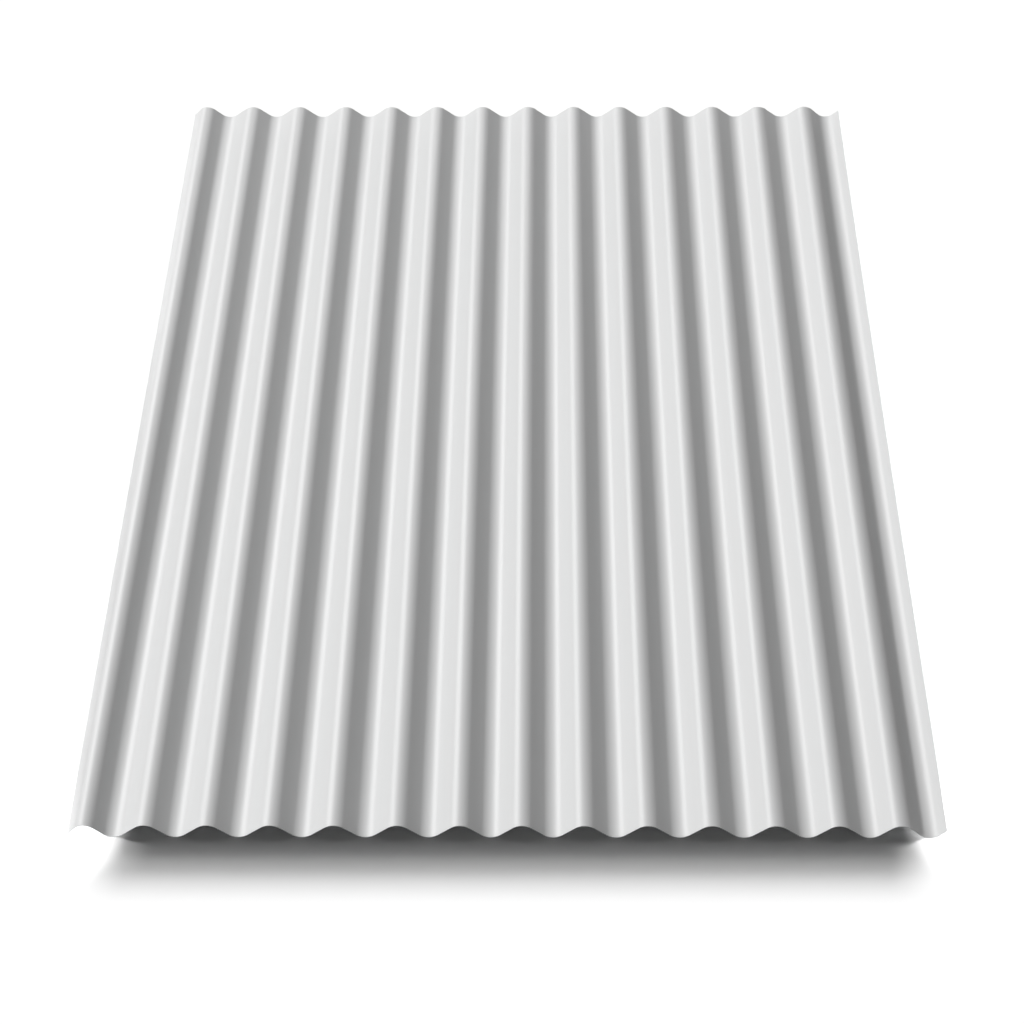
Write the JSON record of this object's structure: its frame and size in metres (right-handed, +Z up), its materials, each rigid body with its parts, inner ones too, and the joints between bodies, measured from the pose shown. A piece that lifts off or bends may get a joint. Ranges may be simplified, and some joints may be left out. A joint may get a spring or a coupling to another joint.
{
  "type": "corrugated metal sheet",
  "caption": "Flat-lying sheet of painted steel rolled into even round waves, used as roofing or cladding.",
  "frame": {"origin": "under the middle of the sheet, in the plane that its valleys rest on", "axes": "+X across the waves, from the turned-down lap lip to the plain edge; +Y along the waves; +Z up, away from the surface that the sheet lies on"},
  "size_m": [1.0638, 1.8, 0.0185],
  "materials": {
    "sheet_paint": "satin"
  },
  "bodies": {
    "root": {"corrugated_sheet": "sheet_paint"}
  },
  "joints": []
}
